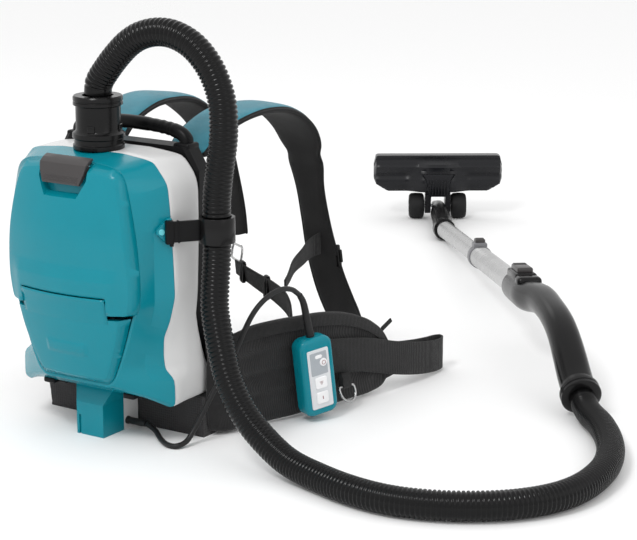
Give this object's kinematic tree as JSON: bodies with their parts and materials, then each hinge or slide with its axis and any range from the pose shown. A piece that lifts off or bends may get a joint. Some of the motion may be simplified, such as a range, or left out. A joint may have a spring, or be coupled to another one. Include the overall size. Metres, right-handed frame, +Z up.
{
  "type": "backpack vacuum cleaner",
  "caption": "Battery backpack vacuum cleaner with a two-tone shell, padded harness, corded remote control, suction hose, metal wand and wheeled floor head.",
  "frame": {"origin": "middle of the pack's flat foot between the two battery bays, on the floor", "axes": "+X to the wearer's left-hand side of the pack as seen from its front, -Y out of the front cover, +Z up"},
  "size_m": [0.9561, 1.3932, 0.4979],
  "materials": {
    "teal_plastic": "gloss",
    "white_plastic": "satin",
    "black_plastic": "matte",
    "rubber": "matte",
    "steel": "polished",
    "aluminium": "brushed",
    "teal_fabric": "woven",
    "black_fabric": "woven",
    "paper": "matte",
    "pale_plastic": "matte",
    "board_green": "matte"
  },
  "bodies": {
    "pack": {"lower_front_panel": "teal_plastic", "hinge_pin": "steel", "front_housing": "teal_plastic", "rear_housing": "white_plastic", "back_plate": "black_plastic", "divider_front": "teal_plastic", "divider_rear": "white_plastic", "pack_strain_relief": "rubber", "battery_terminal_left": "black_plastic", "battery_terminal_right": "black_plastic", "inlet_pipe": "black_plastic", "carry_handle": "black_plastic", "hose_bracket": "teal_plastic", "clamp_arm": "black_plastic", "clamp_ring": "black_plastic", "hepa_filter": "paper", "dust_bag": "paper", "motor_can": "steel", "suction_hose": "black_plastic", "remote_cable": "rubber", "handle_body": "black_plastic", "outer_pipe": "aluminium", "pipe_collar": "black_plastic", "remote_front": "teal_plastic", "remote_back": "teal_plastic", "remote_keypad": "pale_plastic", "remote_board": "board_green", "remote_clip": "black_plastic", "remote_strain_relief": "rubber", "lumbar_pad": "black_fabric", "belt_wing_right": "black_fabric", "belt_wing_left": "black_fabric", "belt_loop": "black_fabric", "ring_tab": "black_fabric", "shoulder_strap_right": "teal_fabric", "shoulder_strap_left": "teal_fabric", "lower_webbing": "black_fabric", "cross_webbing": "black_fabric"},
    "cover": {"front_cover": "teal_plastic", "cover_seal": "rubber", "latch_pin": "steel"},
    "latch_lever": {"latch": "black_plastic"},
    "rotor": {"motor_shaft": "steel", "impeller": "black_plastic"},
    "handle_lever": {"handle_lock": "black_plastic"},
    "pipe_lever": {"pipe_lock": "black_plastic"},
    "lower_wand": {"inner_pipe": "aluminium", "nozzle_neck": "black_plastic"},
    "floor_head": {"nozzle_head": "black_plastic", "nozzle_axle": "steel", "nozzle_brush": "rubber"},
    "wheel_left": {"nozzle_wheel_left": "rubber"},
    "wheel_right": {"nozzle_wheel_right": "rubber"},
    "button_low": {"remote_button_low": "white_plastic"},
    "button_high": {"remote_button_high": "white_plastic"},
    "button_power": {"remote_button_power": "white_plastic"},
    "d_ring": {"belt_d_ring": "steel"},
    "oval_ring": {"strap_ring": "steel"}
  },
  "joints": [
    {"name": "cover_hinge", "type": "hinge", "parent": "pack", "child": "cover", "pos_m": [0, -0.064, 0.1625], "axis": [1, 0, 0], "range_deg": [0, 62]},
    {"name": "latch_turn", "type": "hinge", "parent": "cover", "child": "latch_lever", "pos_m": [0, -0.06, 0.3345], "axis": [-1, 0, 0], "range_deg": [0, 35], "stiffness_Nm_per_rad": 0.08, "springref_deg": -5.73},
    {"name": "rotor_spin", "type": "hinge", "parent": "pack", "child": "rotor", "pos_m": [0, -0.014, 0.15], "axis": [0, 0, 1], "continuous": true},
    {"name": "handle_lock_press", "type": "slide", "parent": "pack", "child": "handle_lever", "axis": [0.062, -0.0778, -0.995], "range_m": [0, 0.0015], "stiffness_N_per_m": 400, "springref_m": -0.0005},
    {"name": "pipe_lock_press", "type": "slide", "parent": "pack", "child": "pipe_lever", "axis": [0.062, -0.0778, -0.995], "range_m": [0, 0.0015], "stiffness_N_per_m": 400, "springref_m": -0.0005},
    {"name": "wand_slide", "type": "slide", "parent": "pack", "child": "lower_wand", "axis": [0.6202, -0.7781, 0.0995], "range_m": [0, 0.2]},
    {"name": "head_tilt", "type": "hinge", "parent": "lower_wand", "child": "floor_head", "pos_m": [-0.248, 1.235, 0.0225], "axis": [-0.8311, -0.5561, 0], "range_deg": [0, 90]},
    {"name": "wheel_left_spin", "type": "hinge", "parent": "floor_head", "child": "wheel_left", "pos_m": [-0.26795, 1.22165, 0.0225], "axis": [0.8311, 0.5561, 0], "continuous": true},
    {"name": "wheel_right_spin", "type": "hinge", "parent": "floor_head", "child": "wheel_right", "pos_m": [-0.22805, 1.24835, 0.0225], "axis": [0.8311, 0.5561, 0], "continuous": true},
    {"name": "button_low_press", "type": "slide", "parent": "pack", "child": "button_low", "axis": [-0.9135, 0.4067, 0], "range_m": [0, 0.001], "stiffness_N_per_m": 300, "springref_m": -0.0006},
    {"name": "button_high_press", "type": "slide", "parent": "pack", "child": "button_high", "axis": [-0.9135, 0.4067, 0], "range_m": [0, 0.001], "stiffness_N_per_m": 300, "springref_m": -0.0006},
    {"name": "button_power_press", "type": "slide", "parent": "pack", "child": "button_power", "axis": [-0.9135, 0.4067, 0], "range_m": [0, 0.001], "stiffness_N_per_m": 300, "springref_m": -0.0006},
    {"name": "d_ring_swing", "type": "hinge", "parent": "pack", "child": "d_ring", "pos_m": [0.1985, 0.225, 0.0285], "axis": [0.245, 0.9695, 0], "range_deg": [-20, 25]},
    {"name": "oval_ring_swing", "type": "hinge", "parent": "pack", "child": "oval_ring", "pos_m": [-0.01, 0.2905, 0.168], "axis": [0.8601, -0.5101, 0], "range_deg": [0, 40]}
  ]
}
